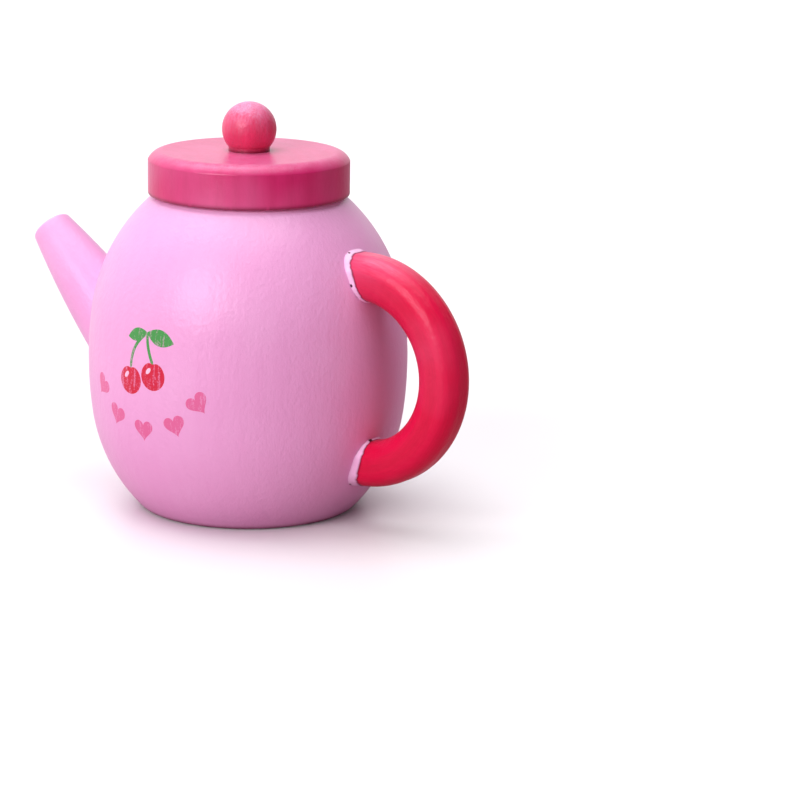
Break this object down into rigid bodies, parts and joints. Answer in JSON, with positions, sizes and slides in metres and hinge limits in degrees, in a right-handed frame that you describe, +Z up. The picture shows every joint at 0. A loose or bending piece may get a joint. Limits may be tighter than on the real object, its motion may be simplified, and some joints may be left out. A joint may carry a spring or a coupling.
{
  "type": "toy teapot",
  "caption": "Toy teapot of turned, painted wood: hollow egg-shaped pot, straight tapering spout, half-ring handle and a lift-off lid with a ball knob.",
  "frame": {"origin": "centre of the flat base, on the pot's own axis", "axes": "+Z up along the pot's axis, +X towards the handle, -X towards the spout, Y across the pot"},
  "size_m": [0.1344, 0.08, 0.1017],
  "materials": {
    "lilac_paint": "satin paint over turned wood",
    "lilac_filler": "satin paint over wood filler",
    "crimson_paint": "satin paint over shaped wood",
    "rose_paint": "satin paint over turned wood",
    "bare_dowel": "bare wood, glued"
  },
  "bodies": {
    "pot": {"pot_body": "lilac_paint", "spout": "lilac_paint", "spout_dowel": "bare_dowel", "spout_fillet": "lilac_filler", "handle": "crimson_paint", "handle_upper_dowel": "bare_dowel", "handle_lower_dowel": "bare_dowel", "handle_upper_fillet": "lilac_filler", "handle_lower_fillet": "lilac_filler"},
    "lid": {"lid": "rose_paint", "knob": "rose_paint", "knob_dowel": "bare_dowel"}
  },
  "joints": [
    {"name": "lid_lift", "type": "slide", "parent": "pot", "child": "lid", "axis": [0, 0, 1], "range_m": [0, 0.06]}
  ]
}
